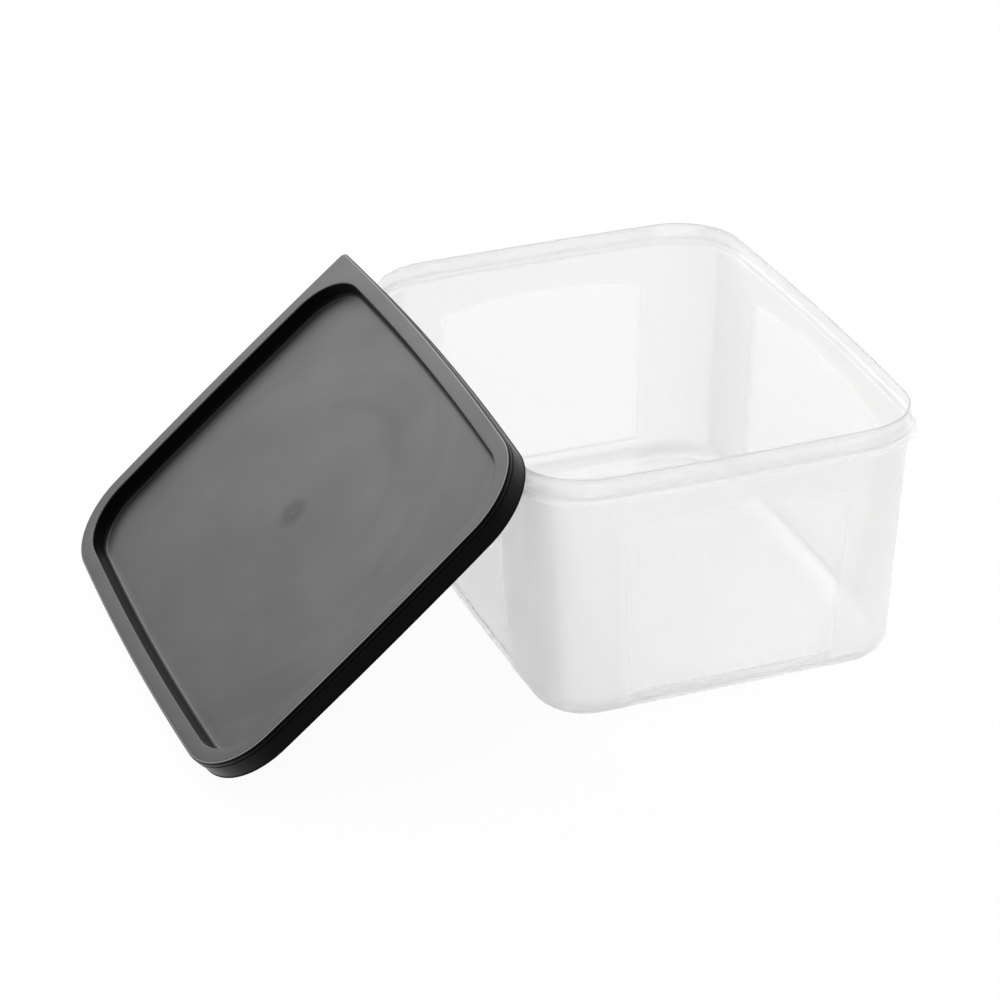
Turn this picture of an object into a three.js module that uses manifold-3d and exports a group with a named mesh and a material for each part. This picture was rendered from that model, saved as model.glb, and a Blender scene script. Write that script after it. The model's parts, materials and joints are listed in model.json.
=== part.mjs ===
// Rectangular food container: a drafted see-through tub with a stepped rim and four clear windows,
// and its press-on lid with one pointed corner, taken off and leaned against the rim.
// Millimetres, +Z up. The origin is the middle of the tub's base, and the front wall faces -Y.
import * as THREE from 'three';
import { mergeVertices } from 'three/addons/utils/BufferGeometryUtils.js';
import Module from 'manifold-3d';

// Tub, measured over the outside of its lip
const RIM_WIDTH = 180;
const RIM_DEPTH = 236;
const TUB_HEIGHT = 118;
const CORNER_RADIUS = 30.5;
const SIDE_RADIUS = 2000;

// Tub wall and base
const WALL = 1.6;
const FLOOR = 2;
const WALL_TOP_INSET = 0.2;
const WALL_BASE_INSET = 6.3;
const BASE_FILLET = 10;

// Rim: an upright lip above a flange, and the ledge inside it
const LIP_WALL = 1.2;
const LIP_FLARE = 1.7;
const LIP_ROUND = 0.4;
const FLANGE_DROP = 8.6;
const FLANGE_OVERHANG = 3.7;
const FLANGE_THICKNESS = 2.4;
const FLANGE_ROUND = 0.8;
const INNER_LEDGE_DROP = 6.6;
const INNER_LEDGE_SLOPE = 2.4;

// Windows: shallow recesses in the walls, arched at the top and running out through the base
const WINDOW_RECESS = 0.5;
const WINDOW_ARCH_RISE = 5.4;
const WINDOW_TAPER = 4.5;
const END_WINDOW_WIDTH = 93;
const END_WINDOW_SHOULDER = 89;
const SIDE_WINDOW_WIDTH = 126;
const SIDE_WINDOW_SHOULDER = 92;

// Lid
const LID_PLATE = 2;
const LID_EDGE_ROUND = 1;
const SKIRT_WALL = 1.5;
const SKIRT_FLARE = 0.3;
const RECESS_DEPTH = 7.2;
const RECESS_TAPER = 3.5;
const PLUG_WALL = 1.8;
const TAB_TIP_RADIUS = 3;

// Gaps between the closed lid and the rim
const SKIRT_CLEARANCE = 0.6;
const PLUG_CLEARANCE = 1;
const SEAT_CLEARANCE = 0.5;
const FOOT_CLEARANCE = 0.3;

// The lid taken off: how far its upper edge reaches in over the lip, and its shift along the side
const LID_REACH = 6.5;
const LID_SHIFT = 1.7;
const REST_CLEARANCE = 0.3;

// Facets of each round stretch
const CORNER_STEPS = 8;
const SIDE_STEPS = 4;
const FILLET_STEPS = 6;
const ROUND_STEPS = 3;
const TIP_STEPS = 5;
const ARCH_STEPS = 12;
const FOOT_STEPS = 40;

const wasm = await Module();
wasm.setup();

const HALF_WIDTH = RIM_WIDTH / 2;
const HALF_DEPTH = RIM_DEPTH / 2;
const QUARTER_TURN = Math.PI / 2;

// One corner of the bowed rectangle: an arc of the given radius that runs smoothly into both sides
function cornerArc(radius) {
  const reach = SIDE_RADIUS - radius;
  const sideX = HALF_WIDTH - SIDE_RADIUS;
  const sideY = HALF_DEPTH - SIDE_RADIUS;
  const gap = Math.hypot(sideX, sideY);
  const along = new THREE.Vector2(-sideX, sideY).divideScalar(gap);
  const middle = new THREE.Vector2(sideX / 2, sideY / 2);
  const height = Math.sqrt(reach ** 2 - (gap / 2) ** 2);
  const centre = new THREE.Vector2(middle.x - along.y * height, middle.y + along.x * height);
  return {
    radius,
    centre,
    start: Math.atan2(centre.y, centre.x - sideX),
    end: Math.atan2(centre.y - sideY, centre.x),
  };
}

const RIM_CORNER = cornerArc(CORNER_RADIUS);

// Points of an arc with the outward direction at each
function arcPoints(centreX, centreY, radius, from, to, steps) {
  return Array.from({ length: steps + 1 }, (_, i) => {
    const angle = from + ((to - from) * i) / steps;
    const normal = new THREE.Vector2(Math.cos(angle), Math.sin(angle));
    return { point: new THREE.Vector2(centreX, centreY).addScaledVector(normal, radius), normal };
  });
}

// A quarter of the lip's outline, from the middle of the +X side to the middle of the +Y side
function quarterPlan() {
  const { centre, radius, start, end } = RIM_CORNER;
  return [
    ...arcPoints(HALF_WIDTH - SIDE_RADIUS, 0, SIDE_RADIUS, 0, start, SIDE_STEPS / 2),
    ...arcPoints(centre.x, centre.y, radius, start, end, CORNER_STEPS).slice(1),
    ...arcPoints(0, HALF_DEPTH - SIDE_RADIUS, SIDE_RADIUS, end, QUARTER_TURN, SIDE_STEPS / 2).slice(1),
  ];
}

// The whole outline, anticlockwise, by mirroring the quarter
function wholePlan() {
  const quarter = quarterPlan();
  const mirrored = (sx, sy) => quarter.map(({ point, normal }) => ({
    point: new THREE.Vector2(point.x * sx, point.y * sy),
    normal: new THREE.Vector2(normal.x * sx, normal.y * sy),
  }));
  return [
    ...mirrored(1, 1).slice(0, -1),
    ...mirrored(-1, 1).reverse().slice(0, -1),
    ...mirrored(-1, -1).slice(0, -1),
    ...mirrored(1, -1).reverse().slice(0, -1),
  ];
}

const PLAN = wholePlan();

// Ring of the outline, pushed outwards by an offset, at a height
function ring(offset, z) {
  return PLAN.map(({ point, normal }) => {
    const moved = point.clone().addScaledVector(normal, offset);
    return new THREE.Vector3(moved.x, moved.y, z);
  });
}

// Profile points of a rounded edge: an arc about (offset, z), angles measured from outwards to upwards
function edgeArc(offset, z, radius, from, to, steps) {
  return Array.from({ length: steps + 1 }, (_, i) => {
    const angle = THREE.MathUtils.degToRad(from + ((to - from) * i) / steps);
    return [offset + radius * Math.cos(angle), z + radius * Math.sin(angle)];
  });
}

// Closed body from a profile that starts and ends on the middle axis, listed anticlockwise
function loft(profile) {
  const rings = profile.map(([offset, z]) => ring(offset, z));
  const count = PLAN.length;
  const corners = rings.flat();
  const faces = [];
  for (let level = 0; level + 1 < rings.length; level += 1) {
    for (let i = 0; i < count; i += 1) {
      const a = level * count + i;
      const b = level * count + ((i + 1) % count);
      faces.push(a, b, b + count, a, b + count, a + count);
    }
  }
  const first = corners.push(new THREE.Vector3(0, 0, profile[0][1])) - 1;
  const last = corners.push(new THREE.Vector3(0, 0, profile.at(-1)[1])) - 1;
  const top = (rings.length - 1) * count;
  for (let i = 0; i < count; i += 1) {
    const next = (i + 1) % count;
    faces.push(first, next, i, last, top + i, top + next);
  }
  const geometry = new THREE.BufferGeometry().setFromPoints(corners);
  geometry.setIndex(faces);
  return geometry;
}

// Boolean helpers
function solid(geometry) {
  const bare = geometry.clone();
  bare.deleteAttribute('normal');
  bare.deleteAttribute('uv');
  const merged = mergeVertices(bare);
  return new wasm.Manifold(new wasm.Mesh({
    numProp: 3,
    vertProperties: new Float32Array(merged.attributes.position.array),
    triVerts: new Uint32Array(merged.index.array),
  }));
}

function geometryOf(body) {
  const { vertProperties, triVerts } = body.getMesh();
  const geometry = new THREE.BufferGeometry();
  geometry.setAttribute('position', new THREE.BufferAttribute(vertProperties, 3));
  geometry.setIndex(new THREE.BufferAttribute(triVerts, 1));
  geometry.computeVertexNormals();
  return geometry;
}

// Heights on the tub's wall
const FLANGE_TOP = TUB_HEIGHT - FLANGE_DROP;
const FLANGE_BOTTOM = FLANGE_TOP - FLANGE_THICKNESS;
const WALL_SLOPE = (WALL_BASE_INSET - WALL_TOP_INSET) / (FLANGE_BOTTOM - BASE_FILLET);

// Outside of the wall and base fillet, pushed out by an offset, from the base upwards
function outerWall(offset) {
  const centre = offset - WALL_BASE_INSET - BASE_FILLET;
  return [
    ...edgeArc(centre, BASE_FILLET, BASE_FILLET, -90, 0, FILLET_STEPS),
    [offset - WALL_TOP_INSET, FLANGE_BOTTOM],
  ];
}

function rimOutside() {
  const round = FLANGE_OVERHANG - FLANGE_ROUND;
  return [
    ...edgeArc(round, FLANGE_BOTTOM + FLANGE_ROUND, FLANGE_ROUND, -90, 0, ROUND_STEPS),
    ...edgeArc(round, FLANGE_TOP - FLANGE_ROUND, FLANGE_ROUND, 0, 90, ROUND_STEPS),
    [LIP_FLARE, FLANGE_TOP],
    ...edgeArc(-LIP_ROUND, TUB_HEIGHT - LIP_ROUND, LIP_ROUND, 0, 90, ROUND_STEPS),
  ];
}

function tubInside() {
  const ledgeTop = TUB_HEIGHT - INNER_LEDGE_DROP;
  const ledgeBottom = ledgeTop - INNER_LEDGE_SLOPE;
  const insetAt = (z) => WALL + WALL_TOP_INSET + WALL_SLOPE * (FLANGE_BOTTOM - z);
  const fillet = BASE_FILLET - WALL;
  const filletTop = FLOOR + fillet;
  const centre = -insetAt(filletTop) - fillet;
  return [
    ...edgeArc(LIP_ROUND - LIP_WALL, TUB_HEIGHT - LIP_ROUND, LIP_ROUND, 90, 180, ROUND_STEPS),
    [-LIP_WALL, ledgeTop],
    [-insetAt(ledgeBottom), ledgeBottom],
    ...edgeArc(centre, filletTop, fillet, 0, -90, FILLET_STEPS),
  ];
}

// Window outline on a wall: tapered sides under a shallow arch, open through the base
function windowShape(width, shoulder) {
  const half = width / 2;
  const foot = half - WINDOW_TAPER;
  const below = -BASE_FILLET;
  const bowRadius = (half ** 2 + WINDOW_ARCH_RISE ** 2) / (2 * WINDOW_ARCH_RISE);
  const spread = Math.asin(half / bowRadius);
  const centreZ = shoulder + WINDOW_ARCH_RISE - bowRadius;
  const shape = new THREE.Shape();
  shape.moveTo(-foot, below);
  shape.lineTo(foot, below);
  shape.lineTo(half, shoulder);
  shape.absarc(0, centreZ, bowRadius, QUARTER_TURN - spread, QUARTER_TURN + spread, false);
  return shape;
}

// Prism of a window through the wall that faces the given turn about Z, reaching clear of it
function windowPrism(width, shoulder, distance, turn) {
  const depth = 2 * (WALL_BASE_INSET + BASE_FILLET);
  const prism = new THREE.ExtrudeGeometry(windowShape(width, shoulder), {
    depth, bevelEnabled: false, curveSegments: ARCH_STEPS,
  });
  prism.rotateX(QUARTER_TURN);
  prism.translate(0, depth / 2 - distance, 0);
  prism.rotateZ(turn);
  return solid(prism);
}

function tubGeometry() {
  const shell = solid(loft([...outerWall(0), ...rimOutside(), ...tubInside()]));
  const core = solid(loft([
    [-WINDOW_RECESS - WALL_BASE_INSET - BASE_FILLET, -2 * BASE_FILLET],
    ...outerWall(-WINDOW_RECESS),
    [-WINDOW_RECESS - WALL_TOP_INSET, TUB_HEIGHT],
  ]));
  const windows = [
    [END_WINDOW_WIDTH, END_WINDOW_SHOULDER, HALF_DEPTH, 0],
    [SIDE_WINDOW_WIDTH, SIDE_WINDOW_SHOULDER, HALF_WIDTH, QUARTER_TURN],
    [END_WINDOW_WIDTH, END_WINDOW_SHOULDER, HALF_DEPTH, 2 * QUARTER_TURN],
    [SIDE_WINDOW_WIDTH, SIDE_WINDOW_SHOULDER, HALF_WIDTH, -QUARTER_TURN],
  ].map((window) => windowPrism(...window).subtract(core));
  return geometryOf(windows.reduce((tub, cut) => tub.subtract(cut), shell));
}

// Lid sizes that follow the rim; its top face is at z = 0 in its own frame
const SKIRT_OUTSIDE = LIP_FLARE + SKIRT_CLEARANCE + SKIRT_WALL;
const SKIRT_FOOT = SKIRT_OUTSIDE + SKIRT_FLARE;
const SKIRT_DEPTH = LID_PLATE + SEAT_CLEARANCE + FLANGE_DROP - FOOT_CLEARANCE;
const RECESS_EDGE = -LIP_WALL - PLUG_CLEARANCE - PLUG_WALL;
const PANEL_EDGE = RECESS_EDGE - RECESS_TAPER;

function lidProfile() {
  const under = -RECESS_DEPTH - LID_PLATE;
  return [
    [PANEL_EDGE + PLUG_WALL, under],
    [RECESS_EDGE + PLUG_WALL, -LID_PLATE],
    [SKIRT_OUTSIDE - SKIRT_WALL, -LID_PLATE],
    [SKIRT_FOOT - SKIRT_WALL, -SKIRT_DEPTH],
    [SKIRT_FOOT, -SKIRT_DEPTH],
    ...edgeArc(SKIRT_OUTSIDE - LID_EDGE_ROUND, -LID_EDGE_ROUND, LID_EDGE_ROUND, 0, 90, ROUND_STEPS),
    [RECESS_EDGE, 0],
    [PANEL_EDGE, -RECESS_DEPTH],
  ];
}

// Pull tab: the flat corner of the lid's plate, carried on to a point along the line of both sides
function tabGeometry() {
  const skirt = RIM_CORNER.radius + SKIRT_OUTSIDE;
  const tip = cornerArc(TAB_TIP_RADIUS - SKIRT_OUTSIDE);
  const side = SIDE_RADIUS + SKIRT_OUTSIDE;
  const edge = [
    ...arcPoints(HALF_WIDTH - SIDE_RADIUS, 0, side, RIM_CORNER.start, tip.start, SIDE_STEPS),
    ...arcPoints(tip.centre.x, tip.centre.y, TAB_TIP_RADIUS, tip.start, tip.end, TIP_STEPS).slice(1),
    ...arcPoints(0, HALF_DEPTH - SIDE_RADIUS, side, tip.end, RIM_CORNER.end, SIDE_STEPS).slice(1),
    ...arcPoints(RIM_CORNER.centre.x, RIM_CORNER.centre.y, skirt - SKIRT_WALL,
      RIM_CORNER.end, RIM_CORNER.start, CORNER_STEPS),
  ];
  const plate = new THREE.ExtrudeGeometry(new THREE.Shape(edge.map(({ point }) => point)), {
    depth: LID_PLATE, bevelEnabled: false,
  });
  return plate.translate(0, 0, -LID_PLATE);
}

function lidGeometry() {
  return geometryOf(solid(loft(lidProfile())).add(solid(tabGeometry())));
}

// How far a point of the ground plan lies outside the lip's outline
function planOffset(x, y) {
  const { centre, radius, start, end } = RIM_CORNER;
  const px = Math.abs(x);
  const py = Math.abs(y);
  const angle = Math.atan2(py - centre.y, px - centre.x);
  if (angle >= start && angle <= end) {
    return Math.hypot(px - centre.x, py - centre.y) - radius;
  }
  const alongX = Math.hypot(px - HALF_WIDTH + SIDE_RADIUS, py) - SIDE_RADIUS;
  const alongY = Math.hypot(px, py - HALF_DEPTH + SIDE_RADIUS) - SIDE_RADIUS;
  return Math.max(alongX, alongY);
}

// Height of the rim under a point of the plan, or far below where there is none
function rimHeight(offset) {
  if (offset > FLANGE_OVERHANG || offset < -LIP_WALL) {
    return -TUB_HEIGHT;
  }
  return offset > 0 ? FLANGE_TOP : TUB_HEIGHT;
}

// The lid's place when its lower edge stands on the ground and it leans back by an angle
function leaningPlace(lean) {
  const up = new THREE.Vector3(Math.cos(lean), 0, Math.sin(lean));
  const out = new THREE.Vector3(-Math.sin(lean), 0, Math.cos(lean));
  const half = HALF_WIDTH + SKIRT_FOOT;
  const upperFoot = new THREE.Vector3(LID_REACH - HALF_WIDTH, LID_SHIFT, 2 * half * up.z);
  return upperFoot.addScaledVector(up, -half).addScaledVector(out, SKIRT_DEPTH);
}

// Points close together along one edge of the skirt's foot
function footPoints(offset) {
  const corners = ring(offset, -SKIRT_DEPTH);
  return corners.flatMap((corner, i) => {
    const next = corners[(i + 1) % corners.length];
    return Array.from({ length: FOOT_STEPS }, (_, k) => corner.clone().lerp(next, k / FOOT_STEPS));
  });
}

// Least height of the skirt's foot over the rim, both edges of the foot counted
function footClearance(lean) {
  const turn = new THREE.Matrix4().makeRotationY(-lean).setPosition(leaningPlace(lean));
  const feet = [...footPoints(SKIRT_FOOT), ...footPoints(SKIRT_FOOT - SKIRT_WALL)];
  return feet.reduce((least, foot) => {
    const { x, y, z } = foot.applyMatrix4(turn);
    return Math.min(least, z - rimHeight(planOffset(x, y)));
  }, TUB_HEIGHT);
}

// The lean at which the upper skirt comes to rest on the lip
function restingLean() {
  let low = 0;
  let high = QUARTER_TURN;
  while (high - low > 1e-7) {
    const lean = (low + high) / 2;
    if (footClearance(lean) < REST_CLEARANCE) {
      low = lean;
    } else {
      high = lean;
    }
  }
  return high;
}

function part(name, geometry, material) {
  const mesh = new THREE.Mesh(geometry, new THREE.MeshStandardMaterial(material));
  mesh.name = name;
  return mesh;
}

const tub = part('tub', tubGeometry(), { color: 0xf4f6f7, roughness: 0.35, metalness: 0 });
const lid = part('lid', lidGeometry(), { color: 0x2b2b2c, roughness: 0.5, metalness: 0 });

const lean = restingLean();
const leaningLid = new THREE.Group();
leaningLid.position.copy(leaningPlace(lean));
leaningLid.rotation.y = -lean;
leaningLid.add(lid);

const container = new THREE.Group();
container.add(tub, leaningLid);

export default container;
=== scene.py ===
"""A rectangular food container: a frosted tub with clear window panes, and a black lid leaning on it."""
import json
import math
from collections import namedtuple

import bpy
from mathutils import Matrix, Vector


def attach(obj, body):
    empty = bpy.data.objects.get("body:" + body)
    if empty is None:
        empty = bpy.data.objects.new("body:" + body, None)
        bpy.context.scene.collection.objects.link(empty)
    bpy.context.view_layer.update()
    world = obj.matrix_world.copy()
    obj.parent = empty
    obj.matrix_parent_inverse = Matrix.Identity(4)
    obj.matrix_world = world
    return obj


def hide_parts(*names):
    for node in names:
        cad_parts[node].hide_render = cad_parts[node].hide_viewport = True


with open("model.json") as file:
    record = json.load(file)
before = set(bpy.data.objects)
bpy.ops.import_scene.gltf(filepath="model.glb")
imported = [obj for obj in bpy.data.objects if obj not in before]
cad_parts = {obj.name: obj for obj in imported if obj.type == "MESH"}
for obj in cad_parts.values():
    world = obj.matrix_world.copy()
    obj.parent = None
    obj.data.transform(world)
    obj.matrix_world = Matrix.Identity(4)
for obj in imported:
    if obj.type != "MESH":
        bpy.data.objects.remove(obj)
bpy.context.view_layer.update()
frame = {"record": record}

MM = 0.001
QUARTER_TURN = math.pi / 2

# Tub, in millimetres, measured over the outside of its lip
RIM_WIDTH = 180
RIM_DEPTH = 236
TUB_HEIGHT = 118
CORNER_RADIUS = 30.5
SIDE_RADIUS = 2000
WALL = 1.6
FLOOR = 2
WALL_TOP_INSET = 0.2
WALL_BASE_INSET = 6.3
BASE_FILLET = 10

# Rim: an upright lip above a flange, and the ledge inside it
LIP_WALL = 1.2
LIP_FLARE = 1.7
LIP_ROUND = 0.5
FLANGE_DROP = 8.6
FLANGE_OVERHANG = 3.7
FLANGE_THICKNESS = 2.4
FLANGE_ROUND = 0.9
FLANGE_ROOT = 0.5
INNER_LEDGE_DROP = 6.6
INNER_LEDGE_SLOPE = 2.4
INNER_LEDGE_ROUND = 0.2

# Window panes: shallow recesses, arched at the top and running out through the base
WINDOW_RECESS = 0.5
WINDOW_BEVEL = 1
WINDOW_SHOULDER = 89.6
WINDOW_ARCH_RISE = 5.4
WINDOW_TAPER = 4.5
END_WINDOW_WIDTH = 93
SIDE_WINDOW_WIDTH = 126
SIDE_WINDOW_LIFT = 4

# Lid; its top face is at height 0 in its own frame
LID_PLATE = 2
LID_EDGE_ROUND = 1.2
SKIRT_WALL = 1.5
SKIRT_FLARE = 0.3
SKIRT_CLEARANCE = 0.6
PLUG_CLEARANCE = 1
PLUG_WALL = 1.8
SEAT_CLEARANCE = 0.5
FOOT_CLEARANCE = 0.3
FOOT_ROUND = 0.4
RECESS_DEPTH = 7.2
RECESS_TAPER = 3.5
RECESS_DRAFT = 1.3
RECESS_EDGE_ROUND = 0.6
PANEL_FILLET = 2.2
TAB_TIP_RADIUS = 3
GROOVE_DEPTH = 0.35
GROOVE_WIDTH = 0.8

# Marks on the lid: the painted highlight line round its top edge, by depth below its top face, the height
# above the panel where the recess wall's darker, shaded black begins, and the dish and nub of the gate, by
# diameter
EDGE_HIGHLIGHT_TOP = 0.025
EDGE_HIGHLIGHT_FOOT = 0.2
RECESS_WALL_FOOT = 0.44
GATE_DISH = 21
GATE_DISH_FLAT = 7
GATE_NUB = 1.8
GATE_NUB_FLAT = 0.72

# Columns of the mesh round the outline, rows up its profile, and its tolerances
PANE_COLUMNS = 12
CORNER_COLUMNS = 5
TAB_SIDE_COLUMNS = 12
TAB_TIP_COLUMNS = 11
PANE_ROWS = 10
UPPER_ROWS = 3
FILLET_ROWS = 12
ROUND_ROWS = 6
FLAT_MARGIN = 1
PANE_TOLERANCE = 1e-6
MERGE_DISTANCE = 0.002
SHARP_ANGLE = 32

HALF_WIDTH = RIM_WIDTH / 2
HALF_DEPTH = RIM_DEPTH / 2
FLANGE_TOP = TUB_HEIGHT - FLANGE_DROP
FLANGE_BOTTOM = FLANGE_TOP - FLANGE_THICKNESS
LEDGE_TOP = TUB_HEIGHT - INNER_LEDGE_DROP
LEDGE_BOTTOM = LEDGE_TOP - INNER_LEDGE_SLOPE
WALL_SLOPE = (WALL_BASE_INSET - WALL_TOP_INSET) / (FLANGE_BOTTOM - BASE_FILLET)
SKIRT_OUTSIDE = LIP_FLARE + SKIRT_CLEARANCE + SKIRT_WALL
SKIRT_FOOT = SKIRT_OUTSIDE + SKIRT_FLARE
SKIRT_DEPTH = LID_PLATE + SEAT_CLEARANCE + FLANGE_DROP - FOOT_CLEARANCE
RECESS_EDGE = -LIP_WALL - PLUG_CLEARANCE - PLUG_WALL
PANEL_EDGE = RECESS_EDGE - RECESS_TAPER

# Bands round the tub painted greyer, as shade along the lip's edge, in the rim's creases and round the foot
# and partly as thicker plastic, or thinner and clearer where the weight is below 0: the heights of the low
# edge, the peak and the high edge, and the weight
OUTER_BANDS = (
    (TUB_HEIGHT - 1.5, TUB_HEIGHT, TUB_HEIGHT + 1, 0.75),
    (FLANGE_TOP + 1, FLANGE_TOP + 4, TUB_HEIGHT - 0.5, -0.4),
    (FLANGE_TOP, FLANGE_TOP + 0.5, FLANGE_TOP + 1, 0.95),
)
INNER_BANDS = (
    (TUB_HEIGHT - 1, TUB_HEIGHT, TUB_HEIGHT + 1, 0.45),
    (LEDGE_TOP, LEDGE_TOP + 3, TUB_HEIGHT - 0.5, -0.4),
    (LEDGE_BOTTOM - 0.8, LEDGE_BOTTOM, LEDGE_BOTTOM + 0.8, 0.3),
    (FLOOR, FLOOR + 1.2, BASE_FILLET - 1, 0.5),
    (FLOOR - 0.5, FLOOR, FLOOR + 0.5, -0.3),
)
FOOT_BANDS = (
    (0, FLOOR + 1, BASE_FILLET, 0.8),
)
PANE_FOOT_BANDS = (
    (0, FLOOR + 1, BASE_FILLET, 0.35),
    (BASE_FILLET - 0.4, BASE_FILLET + 1, BASE_FILLET + 2.4, 0.8),
    (BASE_FILLET - 6, BASE_FILLET - 4.2, BASE_FILLET - 2.4, 0.6),
)


# Node trees written as expressions
class Value:
    """A socket of a node tree; arithmetic on it adds the nodes that work it out."""

    def __init__(self, nodes, socket):
        self.nodes = nodes
        self.socket = socket

    def _with(self, operation, first, second):
        values = [side for side in (first, second) if isinstance(side, Value)]
        vector = any(value.socket.type == "VECTOR" for value in values)
        kind = "ShaderNodeVectorMath" if vector else "ShaderNodeMath"
        return self.nodes.add(kind, {"operation": operation}, {0: first, 1: second})

    def __add__(self, other):
        return self._with("ADD", self, other)

    def __radd__(self, other):
        return self._with("ADD", other, self)

    def __sub__(self, other):
        return self._with("SUBTRACT", self, other)

    def __rsub__(self, other):
        return self._with("SUBTRACT", other, self)

    def __mul__(self, other):
        return self._with("MULTIPLY", self, other)

    def __rmul__(self, other):
        return self._with("MULTIPLY", other, self)

    def __truediv__(self, other):
        return self._with("DIVIDE", self, other)

    def __mod__(self, other):
        return self._with("MODULO", self, other)

    def floor(self):
        return self.nodes.add("ShaderNodeMath", {"operation": "FLOOR"}, {0: self})

    def length(self):
        return self.nodes.add("ShaderNodeVectorMath", {"operation": "LENGTH"}, {0: self}, "Value")

    def clamped(self):
        return self.nodes.add("ShaderNodeClamp", {}, {"Value": self})

    def ramp(self, start, end):
        """A soft step from 0 at the start to 1 at the end."""
        return self.nodes.add("ShaderNodeMapRange", {"interpolation_type": "SMOOTHSTEP"},
                              {"Value": self, "From Min": start, "From Max": end})

    def band(self, low, peak, high):
        """A soft band: 1 at its peak and 0 beyond its low and high edges."""
        return self.ramp(low, peak) * self.ramp(high, peak)

    def noise(self, scale, detail):
        sockets = {"Vector": self, "Scale": scale, "Detail": detail}
        return self.nodes.add("ShaderNodeTexNoise", {}, sockets, "Fac")

    def scaled(self, size):
        sockets = {"Vector": self, "Scale": size}
        return self.nodes.add("ShaderNodeVectorMath", {"operation": "SCALE"}, sockets)


class Nodes:
    """One node tree and the single way in which nodes are added to it."""

    def __init__(self, tree):
        self.tree = tree

    def add(self, kind, settings=None, sockets=None, output=0):
        node = self.tree.nodes.new(kind)
        for name, value in (settings or {}).items():
            setattr(node, name, value)
        for name, value in (sockets or {}).items():
            if isinstance(value, Value):
                self.tree.links.new(value.socket, node.inputs[name])
            else:
                node.inputs[name].default_value = value
        return Value(self, node.outputs[output]) if node.outputs else None


# Outline of the moulding: side arcs of a large radius joined by corner arcs
Column = namedtuple("Column", "point outward along share tab")


def corner_arc(radius):
    """Centre and angles of the arc that runs smoothly into both bowed sides of a corner."""
    side = Vector((HALF_WIDTH - SIDE_RADIUS, HALF_DEPTH - SIDE_RADIUS))
    height = math.sqrt((SIDE_RADIUS - radius) ** 2 - side.length_squared / 4)
    centre = side / 2 - Vector((side.y, side.x)) / side.length * height
    return centre, math.atan2(centre.y, centre.x - side.x), math.atan2(centre.y - side.y, centre.x)


def heading(angle):
    return Vector((math.cos(angle), math.sin(angle)))


def side_columns(centre, angles, turn, half_window):
    """Columns on half a side, with their share of the way from its middle to the window's edge."""
    columns = []
    for angle in angles:
        outward = heading(angle)
        along = Vector((-outward.y, outward.x)) * turn
        point = centre + outward * SIDE_RADIUS
        share = abs(point.dot(along)) / half_window
        columns.append(Column(point, outward, along, share, Vector((0, 0))))
    return columns


def window_angles(half_window, reach):
    """Angles of a side's columns from its middle, across half a window and over its edge to the corner."""
    inner = half_window - WINDOW_BEVEL
    distances = [inner * i / PANE_COLUMNS for i in range(PANE_COLUMNS + 1)]
    rest = reach - half_window
    distances += [half_window + rest * i / CORNER_COLUMNS for i in range(CORNER_COLUMNS + 1)]
    return [distance / SIDE_RADIUS for distance in distances]


def quarter_columns():
    """Columns of one quarter: half a long side, the corner with the lid's tab, and half a short end."""
    centre, start, end = corner_arc(CORNER_RADIUS)
    half_side = SIDE_WINDOW_WIDTH / 2
    half_end = END_WINDOW_WIDTH / 2
    side_angles = window_angles(half_side, start * SIDE_RADIUS)
    end_angles = window_angles(half_end, (QUARTER_TURN - end) * SIDE_RADIUS)
    end_angles = [QUARTER_TURN - angle for angle in reversed(end_angles)]
    first = side_columns(Vector((HALF_WIDTH - SIDE_RADIUS, 0)), side_angles, 1, half_side)
    last = side_columns(Vector((0, HALF_DEPTH - SIDE_RADIUS)), end_angles, -1, half_end)
    tip = tab_points(start, end)
    corner = []
    for i, pointed in enumerate(tip):
        outward = heading(start + (end - start) * (i + 1) / (len(tip) + 1))
        point = centre + outward * CORNER_RADIUS
        tab = pointed - point - outward * SKIRT_OUTSIDE
        corner.append(Column(point, outward, Vector((0, 0)), math.inf, tab))
    return first + corner + last


def arc_points(centre, radius, start, end, steps):
    return [centre + heading(start + (end - start) * i / steps) * radius for i in range(steps + 1)]


def tab_points(start, end):
    """Points of the lid's pointed corner: both sides run on, then turn through a small tip."""
    tip_centre, tip_start, tip_end = corner_arc(TAB_TIP_RADIUS - SKIRT_OUTSIDE)
    side = SIDE_RADIUS + SKIRT_OUTSIDE
    first = arc_points(Vector((HALF_WIDTH - SIDE_RADIUS, 0)), side, start, tip_start, TAB_SIDE_COLUMNS)
    middle = arc_points(tip_centre, TAB_TIP_RADIUS, tip_start, tip_end, TAB_TIP_COLUMNS)
    last = arc_points(Vector((0, HALF_DEPTH - SIDE_RADIUS)), side, tip_end, end, TAB_SIDE_COLUMNS)
    return first[1:-1] + middle + last[1:-1]


def mirrored(column, x, y):
    """A column in another quarter; the tab stays in the first one only."""
    def flip(vector):
        return Vector((vector.x * x, vector.y * y))

    tab = column.tab if x > 0 and y > 0 else Vector((0, 0))
    return Column(flip(column.point), flip(column.outward), flip(column.along), column.share, tab)


def whole_outline():
    """All columns, anticlockwise from the middle of the right side."""
    quarter = quarter_columns()
    outline = []
    for x, y, step in ((1, 1, 1), (-1, 1, -1), (-1, -1, 1), (1, -1, -1)):
        outline += [mirrored(column, x, y) for column in quarter[::step]][:-1]
    return outline


# Profile of the moulding: offset out from the lip's outline and height, row by row
SHARES = ("arch", "lift", "taper", "recess", "pane", "tab", "band", "inside", "edge")
Row = namedtuple("Row", ("offset", "height", "spread", *SHARES), defaults=(1, *[0] * len(SHARES)))


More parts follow.
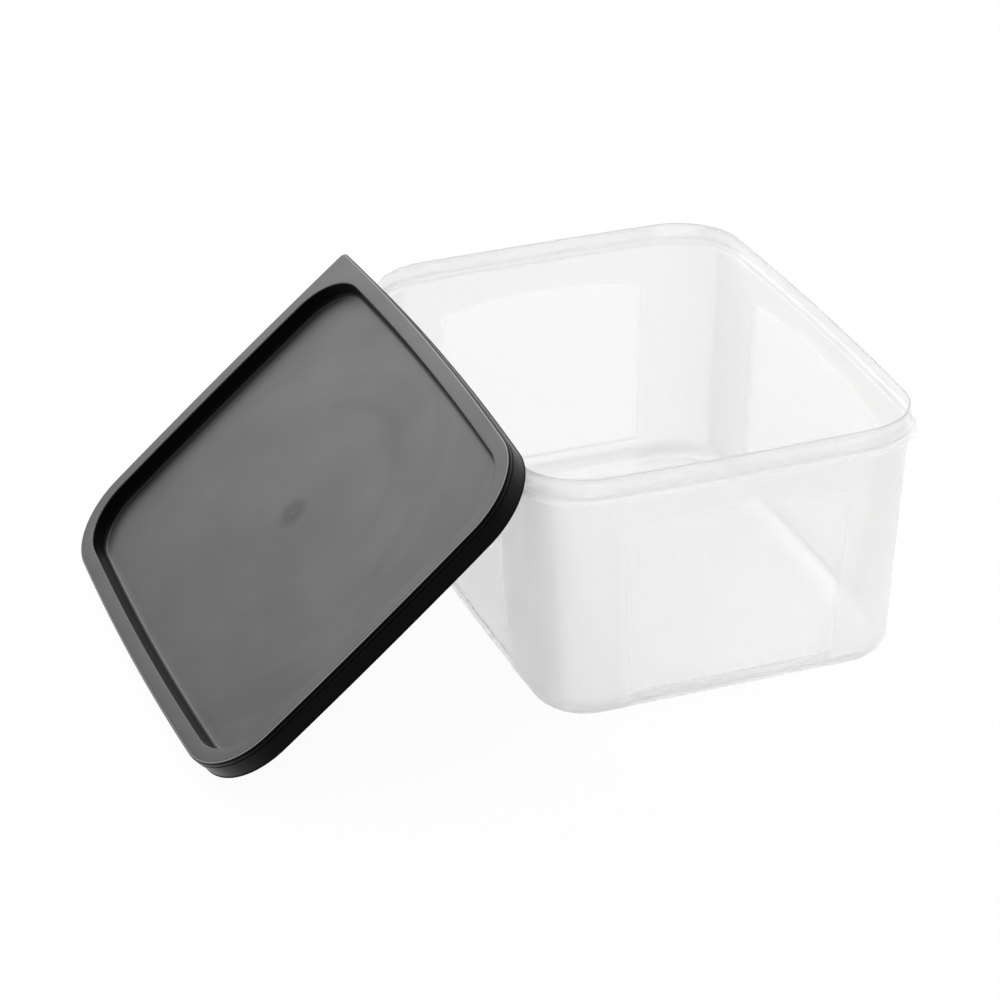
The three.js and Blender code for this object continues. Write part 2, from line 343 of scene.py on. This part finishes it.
def rounded(corners):
    """Points of a polyline whose inner corners, given as (offset, height, radius), are rounded off."""
    points = [Vector(corners[0][:2])]
    for before, (offset, height, radius), after in zip(corners, corners[1:], corners[2:]):
        corner = Vector((offset, height))
        back = (Vector(before[:2]) - corner).normalized()
        ahead = (Vector(after[:2]) - corner).normalized()
        opening = back.angle(ahead)
        middle = corner + (back + ahead).normalized() * radius / math.sin(opening / 2)
        start = corner + back * radius / math.tan(opening / 2) - middle
        turn = math.copysign(math.pi - opening, start.x * ahead.y - start.y * ahead.x)
        for i in range(ROUND_ROWS + 1):
            points.append(middle + Matrix.Rotation(turn * i / ROUND_ROWS, 2) @ start)
    points.append(Vector(corners[-1][:2]))
    return points


def wall_inset(height):
    return WALL_TOP_INSET + WALL_SLOPE * (FLANGE_BOTTOM - height)


def window_row(offset, height, shoulder, **marks):
    """A row of the wall: its window lines lean in towards the base and rise into the arch."""
    taper = max(0, 1 - height / shoulder)
    if height <= shoulder:
        arch = max(0, (height - BASE_FILLET) / (shoulder - BASE_FILLET))
    else:
        arch = max(0, (FLANGE_BOTTOM - height) / (FLANGE_BOTTOM - shoulder))
    return Row(offset, height, arch=arch, lift=arch, taper=taper, **marks)


def outer_wall_rows():
    """From the middle of the base's underside, round the fillet and up the outside of the wall."""
    centre = -WALL_BASE_INSET - BASE_FILLET
    rows = [Row(centre, 0, 0), Row(centre - FLAT_MARGIN, 0)]
    for i in range(FILLET_ROWS + 1):
        angle = QUARTER_TURN * i / FILLET_ROWS
        offset = centre + BASE_FILLET * math.sin(angle)
        height = BASE_FILLET * (1 - math.cos(angle))
        rows.append(window_row(offset, height, WINDOW_SHOULDER, recess=1, pane=1))
    inner_edge = WINDOW_SHOULDER - WINDOW_BEVEL
    for i in range(1, PANE_ROWS + 1):
        height = BASE_FILLET + (inner_edge - BASE_FILLET) * i / PANE_ROWS
        rows.append(window_row(-wall_inset(height), height, WINDOW_SHOULDER, recess=1, pane=1))
    top = FLANGE_BOTTOM - 2 * FLANGE_ROOT
    for i in range(UPPER_ROWS + 1):
        height = WINDOW_SHOULDER + (top - WINDOW_SHOULDER) * i / UPPER_ROWS
        rows.append(window_row(-wall_inset(height), height, WINDOW_SHOULDER))
    return rows


def rim_rows():
    """Out under the flange, over it, up the lip, and down its inside past the ledge."""
    below = LEDGE_BOTTOM - 2 * INNER_LEDGE_ROUND
    corners = [
        (-wall_inset(FLANGE_BOTTOM - FLANGE_ROOT), FLANGE_BOTTOM - 1.5 * FLANGE_ROOT, 0),
        (-WALL_TOP_INSET, FLANGE_BOTTOM, FLANGE_ROOT),
        (FLANGE_OVERHANG, FLANGE_BOTTOM, FLANGE_ROUND),
        (FLANGE_OVERHANG, FLANGE_TOP, FLANGE_ROUND),
        (LIP_FLARE, FLANGE_TOP, FLANGE_ROOT),
        (0, TUB_HEIGHT, LIP_ROUND),
        (-LIP_WALL, TUB_HEIGHT, LIP_ROUND),
        (-LIP_WALL, LEDGE_TOP, INNER_LEDGE_ROUND),
        (-WALL - wall_inset(LEDGE_BOTTOM), LEDGE_BOTTOM, INNER_LEDGE_ROUND),
        (-WALL - wall_inset(below), below, 0),
    ]
    return [Row(*point, inside=point.x < -LIP_WALL / 2) for point in rounded(corners)]


def inner_wall_rows():
    """Down the inside of the wall, round the fillet and in to the middle of the floor."""
    fillet = BASE_FILLET - WALL
    bottom = FLOOR + fillet
    shoulder = WINDOW_SHOULDER
    above = FLANGE_BOTTOM - shoulder
    heights = [shoulder + above * i / UPPER_ROWS for i in range(UPPER_ROWS - 1, -1, -1)]
    inner_edge = shoulder - WINDOW_BEVEL
    pane_foot = bottom + WINDOW_BEVEL
    heights += [inner_edge + (pane_foot - inner_edge) * i / PANE_ROWS for i in range(PANE_ROWS + 1)]
    rows = []
    for height in heights:
        offset = -WALL - wall_inset(height)
        rows.append(window_row(offset, height, shoulder, pane=height < shoulder, inside=1))
    centre = -WALL - wall_inset(bottom) - fillet
    for i in range(FILLET_ROWS + 1):
        angle = QUARTER_TURN * (1 - i / FILLET_ROWS)
        offset = centre + fillet * math.sin(angle)
        rows.append(window_row(offset, bottom - fillet * math.cos(angle), shoulder, inside=1))
    return rows + [Row(centre - FLAT_MARGIN, FLOOR, inside=1), Row(centre, FLOOR, 0, inside=1)]


def lid_rows():
    """From the middle of the lid's underside, out over plug, channel and skirt, and back to the panel."""
    under = -RECESS_DEPTH - LID_PLATE
    inside = SKIRT_OUTSIDE - SKIRT_WALL
    groove = SKIRT_OUTSIDE - GROOVE_DEPTH
    underside = rounded([
        (PANEL_EDGE + PLUG_WALL - 4 * PANEL_FILLET, under, 0),
        (PANEL_EDGE + PLUG_WALL, under, PANEL_FILLET),
        (RECESS_EDGE + PLUG_WALL, -LID_PLATE, FOOT_ROUND),
        (inside, -LID_PLATE, FOOT_ROUND),
        (SKIRT_FOOT - SKIRT_WALL, -SKIRT_DEPTH, FOOT_ROUND),
        (SKIRT_FOOT, -SKIRT_DEPTH, FOOT_ROUND),
        (SKIRT_OUTSIDE, -LID_PLATE - GROOVE_WIDTH, GROOVE_DEPTH),
        (groove, -LID_PLATE - GROOVE_WIDTH / 2, GROOVE_DEPTH / 2),
        (groove, -LID_PLATE, 0),
    ])
    edge = rounded([
        (groove, -LID_PLATE, 0),
        (SKIRT_OUTSIDE, -LID_PLATE, GROOVE_DEPTH),
        (SKIRT_OUTSIDE, 0, LID_EDGE_ROUND),
        (SKIRT_OUTSIDE - 2 * LID_EDGE_ROUND, 0, 0),
    ])
    top = rounded([
        (SKIRT_OUTSIDE - 3 * LID_EDGE_ROUND, 0, 0),
        (RECESS_EDGE, 0, RECESS_EDGE_ROUND),
        (RECESS_EDGE - RECESS_DRAFT, -RECESS_DEPTH, PANEL_FILLET),
        (PANEL_EDGE - PLUG_WALL, -RECESS_DEPTH, 0),
    ])
    rows = [Row(0, under, 0, band=1)]
    rows += [Row(*point, band=1) for point in underside]
    for point in edge:
        # Rows that carry the painted highlight line round the lid's top edge
        painted_highlight = -EDGE_HIGHLIGHT_FOOT < point.y < -EDGE_HIGHLIGHT_TOP
        rows.append(Row(*point, tab=1, band=point.y < -EDGE_HIGHLIGHT_FOOT, edge=painted_highlight))
    for point in top:
        # The recess wall takes the skirt's darker black, painted in as shade
        shaded_wall = RECESS_WALL_FOOT - RECESS_DEPTH < point.y < -RECESS_EDGE_ROUND / 2
        rows.append(Row(*point, band=shaded_wall))
    return rows + [Row(0, -RECESS_DEPTH, 0)]


# Mouldings: a grid whose columns follow the outline and whose rows follow the profile
def guide(name, points, **attributes):
    """A strip of bare vertices that carries the outline's or the profile's values."""
    mesh = bpy.data.meshes.new(name)
    mesh.from_pydata(points, [], [])
    for key, values in attributes.items():
        vector = isinstance(values[0], Vector)
        attribute = mesh.attributes.new(key, "FLOAT_VECTOR" if vector else "FLOAT", "POINT")
        for item, value in zip(attribute.data, values):
            if vector:
                item.vector = value
            else:
                item.value = value
    thing = bpy.data.objects.new(name, mesh)
    bpy.context.scene.collection.objects.link(thing)
    return thing


def outline_guide(columns):
    slope = [Vector((*column.outward * WALL_SLOPE, 1)) for column in columns]
    inside = [float(column.share < 1 - PANE_TOLERANCE) for column in columns]
    reach = [corner_share(column) for column in columns]
    return guide(
        "outline",
        [(*column.point * MM, 0) for column in columns],
        outward=[Vector((*column.outward, 0)) for column in columns],
        arch=[rise * max(0, 1 - column.share ** 2) for column, rise in zip(columns, slope)],
        lift=[rise * side_share(column) for column, rise in zip(columns, slope)],
        taper=[Vector((*-column.along * share, 0)) for column, share in zip(columns, reach)],
        recess=[Vector((*-column.outward, 0)) * share for column, share in zip(columns, inside)],
        tab=[Vector((*column.tab, 0)) for column in columns],
        pane=inside,
    )


def side_share(column):
    """How far a column rises with a side window: fully up to the window's edge, not at the corner."""
    if abs(column.outward.x) <= abs(column.outward.y):
        return 0
    return 1 if column.share <= 1 else corner_share(column)


def corner_share(column):
    """How far a column moves with the window's leaning edge: fully at that edge, not at the corner."""
    if math.isinf(column.share):
        return 0
    if column.share <= 1:
        return column.share
    half_window = abs(column.point.dot(column.along)) / column.share
    corner = corner_arc(CORNER_RADIUS)[0]
    reach = abs(corner.x * column.along.x) + abs(corner.y * column.along.y)
    return max(0, 1 - half_window * (column.share - 1) / (reach - half_window))


def profile_guide(rows):
    shares = {key: [float(getattr(row, key)) for row in rows] for key in SHARES}
    points = [(row.offset * MM, row.spread, row.height * MM) for row in rows]
    return guide("profile", points, **shares)


def tree_with_inputs(sizes):
    """An empty tree whose inputs are the two guides, the named sizes and the two finishes."""
    tree = bpy.data.node_groups.new("moulding", "GeometryNodeTree")
    tree.interface.new_socket("Geometry", in_out="OUTPUT", socket_type="NodeSocketGeometry")
    kinds = {"Outline": "Object", "Profile": "Object"}
    kinds.update({name: "Float" for name in sizes})
    kinds.update({"Material": "Material", "Band Material": "Material"})
    for name, kind in kinds.items():
        tree.interface.new_socket(name, in_out="INPUT", socket_type="NodeSocket" + kind)
    return tree


def moulding_tree(sizes):
    """Geometry nodes that lay a grid round the outline and up the profile and shape it by the sizes."""
    tree = tree_with_inputs(sizes)
    nodes = Nodes(tree)

    def given(name):
        return nodes.add("NodeGroupInput", {}, {}, name)

    outline = nodes.add("GeometryNodeObjectInfo", {}, {"Object": given("Outline")}, "Geometry")
    profile = nodes.add("GeometryNodeObjectInfo", {}, {"Object": given("Profile")}, "Geometry")
    columns = nodes.add("GeometryNodeAttributeDomainSize", {}, {"Geometry": outline}, "Point Count")
    rows = nodes.add("GeometryNodeAttributeDomainSize", {}, {"Geometry": profile}, "Point Count")
    grid = nodes.add("GeometryNodeMeshGrid", {}, {"Vertices X": columns + 1, "Vertices Y": rows}, "Mesh")
    index = nodes.add("GeometryNodeInputIndex")

    def sampled(geometry, field, item, kind):
        sockets = {"Geometry": geometry, "Value": field, "Index": item}
        return nodes.add("GeometryNodeSampleIndex", {"data_type": kind}, sockets)

    def named(name, kind):
        return nodes.add("GeometryNodeInputNamedAttribute", {"data_type": kind}, {"Name": name})

    def round_outline(name):
        return sampled(outline, named(name, "FLOAT_VECTOR"), column, "FLOAT_VECTOR")

    def up_profile(name, count):
        return sampled(profile, named(name, "FLOAT"), index % count, "FLOAT")

    column = (index / rows).floor() % columns
    position = nodes.add("GeometryNodeInputPosition")
    start = sampled(outline, position, column, "FLOAT_VECTOR")
    row = sampled(profile, position, index % rows, "FLOAT_VECTOR")
    offset, spread, height = (nodes.add("ShaderNodeSeparateXYZ", {}, {0: row}, axis) for axis in "XYZ")
    place = (start + round_outline("outward").scaled(offset)).scaled(spread)
    place = place + nodes.add("ShaderNodeCombineXYZ", {}, {"Z": height})
    for name in sizes:
        key = name.split()[-1].lower()
        place = place + round_outline(key).scaled(up_profile(key, rows) * given(name))
    moved = nodes.add("GeometryNodeSetPosition", {}, {"Geometry": grid, "Position": place})

    def stored(geometry, name, domain, value):
        settings = {"data_type": "FLOAT", "domain": domain}
        sockets = {"Geometry": geometry, "Name": name, "Value": value}
        return nodes.add("GeometryNodeStoreNamedAttribute", settings, sockets)

    pane_column = sampled(outline, named("pane", "FLOAT"), column, "FLOAT")
    marked = stored(moved, "pane", "POINT", pane_column * up_profile("pane", rows))
    for name in ("inside", "edge"):
        marked = stored(marked, name, "POINT", up_profile(name, rows))
    marked = stored(marked, "band", "FACE", up_profile("band", rows - 1))
    distance = MERGE_DISTANCE * MM
    merged = nodes.add("GeometryNodeMergeByDistance", {}, {"Geometry": marked, "Distance": distance})
    realized = nodes.add("GeometryNodeRealizeInstances", {}, {"Geometry": merged})
    body = nodes.add("GeometryNodeSetMaterial", {}, {"Geometry": realized, "Material": given("Material")})
    finished = nodes.add("GeometryNodeSetMaterial", {}, {
        "Geometry": body,
        "Selection": named("band", "FLOAT"),
        "Material": given("Band Material"),
    })
    nodes.add("NodeGroupOutput", {}, {"Geometry": finished})
    return tree


def moulding(name, rows, sizes, finish, band_finish):
    """A plain mesh of the moulding, with its guides and its tree's modifier taken away again."""
    tree = moulding_tree(sizes)
    guides = {"Outline": outline_guide(whole_outline()), "Profile": profile_guide(rows)}
    piece = bpy.data.objects.new(name, bpy.data.meshes.new(name))
    bpy.context.scene.collection.objects.link(piece)
    modifier = piece.modifiers.new("moulding", "NODES")
    modifier.node_group = tree
    values = {**guides, "Material": finish, "Band Material": band_finish}
    values.update({key: size * MM for key, size in sizes.items()})
    for item in tree.interface.items_tree:
        if item.in_out == "INPUT":
            modifier[item.identifier] = values[item.name]
    depsgraph = bpy.context.evaluated_depsgraph_get()
    mesh = bpy.data.meshes.new_from_object(piece.evaluated_get(depsgraph))
    piece.modifiers.remove(modifier)
    piece.data = mesh
    for thing in guides.values():
        bpy.data.objects.remove(thing)
    mesh.shade_smooth()
    mesh.set_sharp_from_angle(angle=math.radians(SHARP_ANGLE))
    return piece


# Finishes: a noise has a scale and a detail, and a cover is the share of what lies behind that is hidden
PLASTIC_IOR = 1.49
BUMP_DEPTH = 0.2

FROST_WHITE = 0.99
# Painted shade: the bands grey the white in creases and round the foot, partly for thicker plastic
SHADE_AND_THICKNESS_GREY = 0.2
FROST_COVER = 0.51
PANE_COVER = 0.27
SHADE_AND_THICKNESS_COVER = 0.96
FLANGE_COVER = 0.3
FLANGE_FADE = 0.4
FROST_THROUGH = 0.65
FROST_ROUGHNESS = 0.3
FROST_CLOUDS = 0.1
FROST_CLOUD_NOISE = (35.0, 4.0)
FROST_GRAIN = 0.15
FROST_GRAIN_NOISE = (900.0, 2.0)

SATIN_BLACK = 0.005
# Painted highlight: grey added to the lid's top edge where it would catch the light
EDGE_HIGHLIGHT_GREY = 0.18
NUB_GREY = 0.02
SATIN_ROUGHNESS = 0.42
SATIN_CLOUDS = 0.12
SATIN_CLOUD_NOISE = (24.0, 5.0)
SATIN_RINGS = 0.06
RING_NOISE = (1.0, 3.0)
RING_WANDER = 8.0
RINGS_PER_METRE = 150
SATIN_DISH = 0.07
SATIN_GRAIN = 0.1
SATIN_GRAIN_NOISE = (1400.0, 2.0)
NUB_BUMP = 4

# Painted shade: the skirt's finish is a darker copy of the lid's black, its reflection dimmed by the tint
SHADED_BLACK = (0.001, 0.001, 0.0011, 1)
SHADED_TINT = (0.05, 0.05, 0.05, 1)
PLAIN_ROUGHNESS = 0.3
PLAIN_CLOUDS = 0.12
PLAIN_CLOUD_NOISE = (30.0, 4.0)


def material(name):
    thing = bpy.data.materials.new(name)
    thing.use_nodes = True
    thing.node_tree.nodes.clear()
    return thing, Nodes(thing.node_tree)


def mark(nodes, name):
    return nodes.add("ShaderNodeAttribute", {"attribute_name": name}, {}, "Fac")


def bumped(nodes, strength, height):
    sockets = {"Strength": strength, "Distance": BUMP_DEPTH * MM, "Height": height}
    return nodes.add("ShaderNodeBump", {}, sockets, "Normal")


def shade_and_thickness_share(height, inside, pane):
    """Share of painted shade and extra thickness: the lip's edge, the creases of the rim and the turn into
    the base.
    """

    def total(bands):
        shares = [height.band(low, peak, high) * weight for low, peak, high, weight in bands]
        return sum(shares[1:], shares[0])

    foot = total(FOOT_BANDS) * (1 - pane) + total(PANE_FOOT_BANDS) * pane
    return (total(OUTER_BANDS) + foot) * (1 - inside) + total(INNER_BANDS) * inside


def grey(nodes, level):
    return nodes.add("ShaderNodeCombineColor", {}, {"Red": level, "Green": level, "Blue": level})


def frosted_polypropylene():
    """Milky plastic with a fine grain, smooth and nearly clear on the window panes."""
    thing, nodes = material("frosted_polypropylene")
    place = nodes.add("ShaderNodeTexCoord", {}, {}, "Object")
    height = nodes.add("ShaderNodeSeparateXYZ", {}, {0: place}, "Z") / MM
    pane = mark(nodes, "pane")
    inside = mark(nodes, "inside")
    # Share of the bands of painted shade, partly standing for thicker plastic
    shade_and_thickness = shade_and_thickness_share(height, inside, pane)
    flange = height.ramp(FLANGE_BOTTOM - FLANGE_FADE, FLANGE_BOTTOM + FLANGE_FADE / 2)
    flange = flange * height.ramp(FLANGE_TOP + FLANGE_FADE, FLANGE_TOP) * (1 - inside)
    cover = FROST_COVER - pane * (FROST_COVER - PANE_COVER) + flange * FLANGE_COVER
    grain = place.noise(*FROST_GRAIN_NOISE) * (1 - pane)
    shader = nodes.add("ShaderNodeBsdfPrincipled", {}, {
        # The white is greyed in the bands as painted shade
        "Base Color": grey(nodes, FROST_WHITE - shade_and_thickness.clamped() * SHADE_AND_THICKNESS_GREY),
        "Roughness": FROST_ROUGHNESS + place.noise(*FROST_CLOUD_NOISE) * FROST_CLOUDS,
        "IOR": PLASTIC_IOR,
        "Transmission Weight": FROST_THROUGH,
        "Alpha": cover + (SHADE_AND_THICKNESS_COVER - cover) * shade_and_thickness,
        "Normal": bumped(nodes, FROST_GRAIN, grain),
    })
    nodes.add("ShaderNodeOutputMaterial", {}, {"Surface": shader})
    return thing


def satin_black_polypropylene():
    """The lid's top: fine satin, ringed by the flow of plastic from the gate, with a painted highlight line
    along its edge.
    """
    thing, nodes = material("satin_black_polypropylene")
    frame_of_lid = lid_place()
    place = nodes.add("ShaderNodeMapping", {"vector_type": "TEXTURE"}, {
        "Vector": nodes.add("ShaderNodeTexCoord", {}, {}, "Object"),
        "Location": frame_of_lid.translation,
        "Rotation": frame_of_lid.to_euler(),
    })
    flat = place * nodes.add("ShaderNodeCombineXYZ", {}, {"X": 1.0, "Y": 1.0})
    radius = flat.length()
    ring = nodes.add("ShaderNodeCombineXYZ", {}, {"Z": radius * RINGS_PER_METRE})
    rings = (flat.scaled(RING_WANDER) + ring).noise(*RING_NOISE)
    dish = radius.ramp(GATE_DISH / 2 * MM, GATE_DISH_FLAT / 2 * MM)
    nub = radius.ramp(GATE_NUB / 2 * MM, GATE_NUB_FLAT / 2 * MM)
    clouds = place.noise(*SATIN_CLOUD_NOISE)
    height = place.noise(*SATIN_GRAIN_NOISE) + nub * NUB_BUMP
    # The edge mark paints a highlight line along the lid's top edge
    black = SATIN_BLACK + mark(nodes, "edge") * EDGE_HIGHLIGHT_GREY + nub * NUB_GREY
    shader = nodes.add("ShaderNodeBsdfPrincipled", {}, {
        "Base Color": grey(nodes, black),
        "Roughness": SATIN_ROUGHNESS + clouds * SATIN_CLOUDS + rings * SATIN_RINGS + dish * SATIN_DISH,
        "IOR": PLASTIC_IOR,
        "Normal": bumped(nodes, SATIN_GRAIN, height),
    })
    nodes.add("ShaderNodeOutputMaterial", {}, {"Surface": shader})
    return thing


def shaded_black_polypropylene():
    """The lid's skirt, recess wall and underside: smoother than its top, with a deeper black and a dimmed
    reflection painted in as shade.
    """
    thing, nodes = material("shaded_black_polypropylene")
    place = nodes.add("ShaderNodeTexCoord", {}, {}, "Object")
    shader = nodes.add("ShaderNodeBsdfPrincipled", {}, {
        "Base Color": SHADED_BLACK,
        "Roughness": PLAIN_ROUGHNESS + place.noise(*PLAIN_CLOUD_NOISE) * PLAIN_CLOUDS,
        "IOR": PLASTIC_IOR,
        "Specular Tint": SHADED_TINT,
    })
    nodes.add("ShaderNodeOutputMaterial", {}, {"Surface": shader})
    return thing


# Pieces
def make_tub():
    rows = outer_wall_rows() + rim_rows() + inner_wall_rows()
    sizes = {
        "Window Arch": WINDOW_ARCH_RISE,
        "Side Window Lift": SIDE_WINDOW_LIFT,
        "Window Taper": WINDOW_TAPER,
        "Window Recess": WINDOW_RECESS,
    }
    finish = frosted_polypropylene()
    tub = moulding("frosted_tub", rows, sizes, finish, finish)
    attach(tub, "tub_body")
    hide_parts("tub")


def lid_place():
    """The lid's frame, found from the seat for stacking, which is the middle of its sunken panel."""
    seat = next(mount for mount in frame["record"]["mounts"] if mount["name"] == "stack_seat")
    out = Vector(seat["axis"])
    middle = Vector(seat["pos_m"]) + out * RECESS_DEPTH * MM
    return Matrix.Translation(middle) @ Matrix.Rotation(-math.atan2(-out.x, out.z), 4, "Y")


def make_lid():
    top = satin_black_polypropylene()
    # The skirt's finish is the lid's black darkened as painted shade
    skirt = shaded_black_polypropylene()
    lid = moulding("black_lid", lid_rows(), {"Pointed Tab": 1}, top, skirt)
    lid.data.transform(lid_place())
    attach(lid, "lid_body")
    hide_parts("lid")


# Stage: camera, floor and light, in metres
CAMERA_EYE = Vector((-0.521558, -1.276471, 0.760923))
CAMERA_RIGHT = Vector((0.938396, -0.345237, -0.015014))
CAMERA_UP = Vector((0.172425, 0.430134, 0.886146))
FOCAL_LENGTHS = 3.474
SENSOR = 36
CLIP_END = 50
FLOOR_REACH = 6
FLOOR_DROP = 0.0003
FLOOR_COLOUR = (0.9, 0.9, 0.9, 1)
FLOOR_WHITE = 0.95
ROOM_COLOUR = (1, 1, 1, 1)
ROOM_LIGHT = 0.9
SOFTBOX_SIZE = 1
SOFTBOX_POWER = 14
SOFTBOX_AIM = Vector((-0.16, 0, 0.06))
SOFTBOX_WAY = Vector((-0.3, 0.75, 0.55))
SOFTBOX_DISTANCE = 1.4


def make_camera():
    data = bpy.data.cameras.new("camera")
    data.sensor_width = SENSOR
    data.lens = FOCAL_LENGTHS * SENSOR
    data.clip_end = CLIP_END
    camera = bpy.data.objects.new("camera", data)
    back = CAMERA_RIGHT.cross(CAMERA_UP)
    turned = Matrix((CAMERA_RIGHT, CAMERA_UP, back)).transposed().to_4x4()
    camera.matrix_world = Matrix.Translation(CAMERA_EYE) @ turned
    bpy.context.scene.collection.objects.link(camera)
    bpy.context.scene.camera = camera


def seen_directly(nodes):
    """1 for rays from the camera, also mirrored or through plastic, and 0 for light on the object."""
    kinds = ("Camera", "Glossy", "Transmission")
    camera, glossy, through = (nodes.add("ShaderNodeLightPath", {}, {}, f"Is {kind} Ray") for kind in kinds)
    return (camera + glossy + through).clamped()


def make_floor():
    mesh = bpy.data.meshes.new("floor")
    corners = ((-1, -1), (1, -1), (1, 1), (-1, 1))
    mesh.from_pydata([(x * FLOOR_REACH, y * FLOOR_REACH, 0) for x, y in corners], [], [(0, 1, 2, 3)])
    floor = bpy.data.objects.new("floor", mesh)
    floor.location.z = -FLOOR_DROP
    bpy.context.scene.collection.objects.link(floor)
    thing, nodes = material("white_floor")
    share = seen_directly(nodes) * FLOOR_WHITE
    lit = nodes.add("ShaderNodeBsdfDiffuse", {}, {"Color": FLOOR_COLOUR})
    white = nodes.add("ShaderNodeEmission", {}, {"Strength": 1.0})
    shader = nodes.add("ShaderNodeMixShader", {}, {0: share, 1: lit, 2: white})
    nodes.add("ShaderNodeOutputMaterial", {}, {"Surface": shader})
    mesh.materials.append(thing)


def make_room():
    world = bpy.data.worlds.new("white_room")
    world.use_nodes = True
    world.node_tree.nodes.clear()
    nodes = Nodes(world.node_tree)
    strength = ROOM_LIGHT + seen_directly(nodes) * (1 - ROOM_LIGHT)
    background = nodes.add("ShaderNodeBackground", {}, {"Color": ROOM_COLOUR, "Strength": strength})
    nodes.add("ShaderNodeOutputWorld", {}, {"Surface": background})
    bpy.context.scene.world = world


def make_softbox():
    data = bpy.data.lights.new("softbox", "AREA")
    data.shape = "RECTANGLE"
    data.size = SOFTBOX_SIZE
    data.size_y = SOFTBOX_SIZE
    data.energy = SOFTBOX_POWER
    softbox = bpy.data.objects.new("softbox", data)
    softbox.location = SOFTBOX_AIM + SOFTBOX_WAY.normalized() * SOFTBOX_DISTANCE
    softbox.rotation_euler = (softbox.location - SOFTBOX_AIM).to_track_quat("Z", "Y").to_euler()
    bpy.context.scene.collection.objects.link(softbox)


make_camera()
make_tub()
make_lid()
make_floor()
make_room()
make_softbox()
bpy.context.scene.view_settings.view_transform = "Standard"
